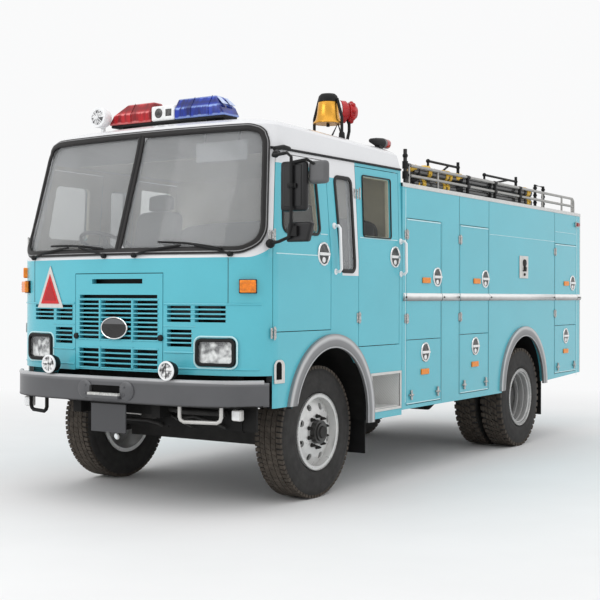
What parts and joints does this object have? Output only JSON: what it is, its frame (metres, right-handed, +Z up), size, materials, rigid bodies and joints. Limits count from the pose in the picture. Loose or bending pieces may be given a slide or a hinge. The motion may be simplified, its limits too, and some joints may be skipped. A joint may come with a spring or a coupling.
{
  "type": "airport fire truck",
  "caption": "Crew-cab airport fire truck with steered front wheels, opening cab doors, front grille flap, side lockers with swing doors and drop flaps, roof rails and light bar",
  "frame": {"origin": "on the ground, on the centre line of the truck, midway between its front and rear ends; the wing mirror sticks out on one side only, so this is not the middle of the overall box", "axes": "+Z up, front of the truck faces -Y, +X is the truck's left side"},
  "size_m": [2.95, 6.88, 3.27],
  "materials": {
    "teal_paint": "gloss",
    "white_paint": "gloss",
    "black_frame": "satin",
    "spring_steel": "matte",
    "engine_grey": "matte",
    "cast_iron": "matte",
    "floor_rubber": "matte",
    "tread_plate": "satin",
    "cream_lining": "matte",
    "window_glass": "gloss",
    "seat_cover": "satin",
    "dash_plastic": "matte",
    "locker_metal": "satin",
    "bumper_grey": "satin",
    "flare_grey": "satin",
    "black_rubber": "matte",
    "lamp_housing": "gloss",
    "rail_grey": "satin",
    "mirror_black": "satin",
    "lamp_lens": "gloss",
    "tyre_rubber": "matte",
    "wheel_silver": "satin"
  },
  "bodies": {
    "truck": {"chassis_frame": "black_frame", "front_axle": "black_frame", "rear_axle": "black_frame", "leaf_springs": "spring_steel", "driveline": "engine_grey", "cab_floor": "floor_rubber", "step_wells": "tread_plate", "cab_front": "teal_paint", "cab_roof": "white_paint", "cab_sides": "teal_paint", "cab_rear_wall": "cream_lining", "cab_glass": "window_glass", "cab_seats": "seat_cover", "dashboard": "dash_plastic", "body_sides": "teal_paint", "body_deck": "tread_plate", "body_ends": "teal_paint", "locker_boxes": "locker_metal", "front_bumper": "bumper_grey", "arch_flares": "flare_grey", "wheel_housings": "black_frame", "mud_flaps": "black_rubber", "light_bar": "lamp_housing", "roof_fittings": "lamp_housing", "roof_rails": "rail_grey", "suction_hoses": "black_rubber", "mirrors": "mirror_black", "lamps": "lamp_lens"},
    "knuckle_left": {"knuckle_left": "cast_iron"},
    "front_wheel_left": {"tyre_front_left": "tyre_rubber", "wheel_front_left": "wheel_silver"},
    "rear_wheels_left": {"tyres_rear_left": "tyre_rubber", "wheel_rear_left": "wheel_silver"},
    "front_door_left": {"front_door_left": "teal_paint", "front_door_glass_left": "window_glass"},
    "crew_door_left": {"crew_door_left": "teal_paint", "crew_door_glass_left": "window_glass"},
    "locker_door_left_1": {"locker_door_left_1": "teal_paint"},
    "locker_flap_left_1": {"locker_flap_left_1": "teal_paint"},
    "locker_door_left_2": {"locker_door_left_2": "teal_paint"},
    "locker_flap_left_2": {"locker_flap_left_2": "teal_paint"},
    "locker_door_left_3": {"locker_door_left_3": "teal_paint"},
    "locker_flap_left_3": {"locker_flap_left_3": "teal_paint"},
    "knuckle_right": {"knuckle_right": "cast_iron"},
    "front_wheel_right": {"tyre_front_right": "tyre_rubber", "wheel_front_right": "wheel_silver"},
    "rear_wheels_right": {"tyres_rear_right": "tyre_rubber", "wheel_rear_right": "wheel_silver"},
    "front_door_right": {"front_door_right": "teal_paint", "front_door_glass_right": "window_glass"},
    "crew_door_right": {"crew_door_right": "teal_paint", "crew_door_glass_right": "window_glass"},
    "locker_door_right_1": {"locker_door_right_1": "teal_paint"},
    "locker_flap_right_1": {"locker_flap_right_1": "teal_paint"},
    "locker_door_right_2": {"locker_door_right_2": "teal_paint"},
    "locker_flap_right_2": {"locker_flap_right_2": "teal_paint"},
    "locker_door_right_3": {"locker_door_right_3": "teal_paint"},
    "locker_flap_right_3": {"locker_flap_right_3": "teal_paint"},
    "grille_flap": {"grille_flap": "teal_paint"},
    "steering_wheel": {"steering_wheel": "dash_plastic"}
  },
  "joints": [
    {"name": "steer_left", "type": "hinge", "parent": "truck", "child": "knuckle_left", "pos_m": [0.87, -2.185, 0.516], "axis": [0, 0, 1], "range_deg": [-35, 35]},
    {"name": "roll_front_left", "type": "hinge", "parent": "knuckle_left", "child": "front_wheel_left", "pos_m": [0.975, -2.185, 0.516], "axis": [1, 0, 0], "continuous": true},
    {"name": "roll_rear_left", "type": "hinge", "parent": "truck", "child": "rear_wheels_left", "pos_m": [0.925, 1.695, 0.516], "axis": [1, 0, 0], "continuous": true},
    {"name": "front_door_left_swing", "type": "hinge", "parent": "truck", "child": "front_door_left", "pos_m": [1.234, -2.987, 1.7], "axis": [0, 0, -1], "range_deg": [0, 75]},
    {"name": "crew_door_left_swing", "type": "hinge", "parent": "truck", "child": "crew_door_left", "pos_m": [1.234, -1.776, 1.7], "axis": [0, 0, -1], "range_deg": [0, 75]},
    {"name": "locker_door_left_1_swing", "type": "hinge", "parent": "truck", "child": "locker_door_left_1", "pos_m": [1.234, -0.957, 1.7], "axis": [0, 0, -1], "range_deg": [0, 110]},
    {"name": "locker_flap_left_1_drop", "type": "hinge", "parent": "truck", "child": "locker_flap_left_1", "pos_m": [1.234, -0.6225, 0.635], "axis": [0, 1, 0], "range_deg": [0, 90]},
    {"name": "locker_door_left_2_swing", "type": "hinge", "parent": "truck", "child": "locker_door_left_2", "pos_m": [1.234, 0.123, 1.7], "axis": [0, 0, -1], "range_deg": [0, 110]},
    {"name": "locker_flap_left_2_drop", "type": "hinge", "parent": "truck", "child": "locker_flap_left_2", "pos_m": [1.234, 0.448, 0.658], "axis": [0, 1, 0], "range_deg": [0, 90]},
    {"name": "locker_door_left_3_swing", "type": "hinge", "parent": "truck", "child": "locker_door_left_3", "pos_m": [1.234, 2.603, 1.7], "axis": [0, 0, -1], "range_deg": [0, 110]},
    {"name": "locker_flap_left_3_drop", "type": "hinge", "parent": "truck", "child": "locker_flap_left_3", "pos_m": [1.234, 2.9425, 0.715], "axis": [0, 1, 0], "range_deg": [0, 90]},
    {"name": "steer_right", "type": "hinge", "parent": "truck", "child": "knuckle_right", "pos_m": [-0.87, -2.185, 0.516], "axis": [0, 0, 1], "range_deg": [-35, 35]},
    {"name": "roll_front_right", "type": "hinge", "parent": "knuckle_right", "child": "front_wheel_right", "pos_m": [-0.975, -2.185, 0.516], "axis": [1, 0, 0], "continuous": true},
    {"name": "roll_rear_right", "type": "hinge", "parent": "truck", "child": "rear_wheels_right", "pos_m": [-0.925, 1.695, 0.516], "axis": [1, 0, 0], "continuous": true},
    {"name": "front_door_right_swing", "type": "hinge", "parent": "truck", "child": "front_door_right", "pos_m": [-1.234, -2.987, 1.7], "axis": [0, 0, 1], "range_deg": [0, 75]},
    {"name": "crew_door_right_swing", "type": "hinge", "parent": "truck", "child": "crew_door_right", "pos_m": [-1.234, -1.776, 1.7], "axis": [0, 0, 1], "range_deg": [0, 75]},
    {"name": "locker_door_right_1_swing", "type": "hinge", "parent": "truck", "child": "locker_door_right_1", "pos_m": [-1.234, -0.957, 1.7], "axis": [0, 0, 1], "range_deg": [0, 110]},
    {"name": "locker_flap_right_1_drop", "type": "hinge", "parent": "truck", "child": "locker_flap_right_1", "pos_m": [-1.234, -0.6225, 0.635], "axis": [0, -1, 0], "range_deg": [0, 90]},
    {"name": "locker_door_right_2_swing", "type": "hinge", "parent": "truck", "child": "locker_door_right_2", "pos_m": [-1.234, 0.123, 1.7], "axis": [0, 0, 1], "range_deg": [0, 110]},
    {"name": "locker_flap_right_2_drop", "type": "hinge", "parent": "truck", "child": "locker_flap_right_2", "pos_m": [-1.234, 0.448, 0.658], "axis": [0, -1, 0], "range_deg": [0, 90]},
    {"name": "locker_door_right_3_swing", "type": "hinge", "parent": "truck", "child": "locker_door_right_3", "pos_m": [-1.234, 2.603, 1.7], "axis": [0, 0, 1], "range_deg": [0, 110]},
    {"name": "locker_flap_right_3_drop", "type": "hinge", "parent": "truck", "child": "locker_flap_right_3", "pos_m": [-1.234, 2.9425, 0.715], "axis": [0, -1, 0], "range_deg": [0, 90]},
    {"name": "grille_flap_lift", "type": "hinge", "parent": "truck", "child": "grille_flap", "pos_m": [0, -3.294, 1.744], "axis": [-1, 0, 0], "range_deg": [0, 80]},
    {"name": "steering_wheel_turn", "type": "hinge", "parent": "truck", "child": "steering_wheel", "pos_m": [-0.62, -2.7, 1.985], "axis": [0, 0.4229, 0.9062], "range_deg": [-560, 560]}
  ],
  "couplings": [
    {"joint": "steer_right", "follows": "steer_left", "ratio": 1},
    {"joint": "steering_wheel_turn", "follows": "steer_left", "ratio": 16}
  ]
}
